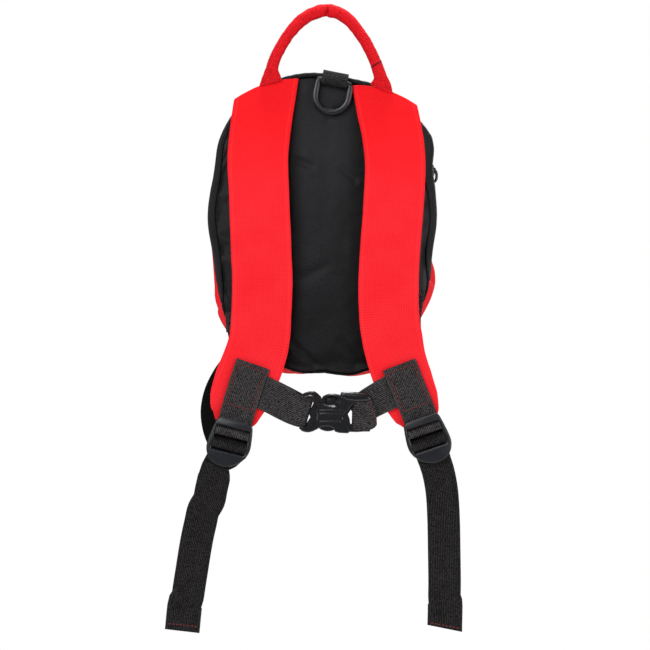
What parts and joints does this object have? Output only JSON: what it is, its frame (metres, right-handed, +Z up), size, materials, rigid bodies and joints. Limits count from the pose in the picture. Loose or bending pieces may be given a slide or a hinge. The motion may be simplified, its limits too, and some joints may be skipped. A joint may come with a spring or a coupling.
{
  "type": "kids backpack",
  "caption": "Small padded backpack with a domed zip compartment, rolled grab handle, webbing-adjusted shoulder straps, a buckled chest strap and a D-ring, hung by its handle.",
  "frame": {"origin": "underside of the grab handle's arch, where the backpack hangs", "axes": "+Z up, +X to the right seen from the wearer's side, the back panel faces -Y and the domed front +Y"},
  "size_m": [0.2203, 0.1122, 0.4712],
  "materials": {
    "red_fabric": "ripstop weave, matte",
    "black_fabric": "plain weave, soft sheen",
    "black_webbing": "woven webbing, matte",
    "black_plastic": "moulded, satin"
  },
  "bodies": {
    "bag": {"back_panel": "black_fabric", "back_piping": "black_fabric", "gusset": "black_fabric", "zip_band": "black_fabric", "zip_coil": "black_plastic", "zip_slider": "black_plastic", "zip_pull": "black_plastic", "base_panel": "red_fabric", "front_panel": "red_fabric", "grab_handle": "red_fabric", "d_ring_tab": "black_webbing", "shoulder_strap_left": "red_fabric", "shoulder_strap_right": "red_fabric", "strap_patch_left": "black_webbing", "strap_patch_right": "black_webbing", "ladder_lock_left": "black_plastic", "ladder_lock_right": "black_plastic", "adjuster_webbing_left": "black_webbing", "adjuster_webbing_right": "black_webbing", "webbing_anchor_left": "black_webbing", "webbing_anchor_right": "black_webbing", "chest_webbing_left": "black_webbing", "chest_webbing_right": "black_webbing", "buckle_socket": "black_plastic", "buckle_plug": "black_plastic"},
    "ring": {"d_ring": "black_plastic"}
  },
  "joints": [
    {"name": "ring_swing", "type": "hinge", "parent": "bag", "child": "ring", "pos_m": [0.0056, 0.002, -0.0483], "axis": [-0.982, 0, 0.1889], "range_deg": [0, 150]}
  ]
}
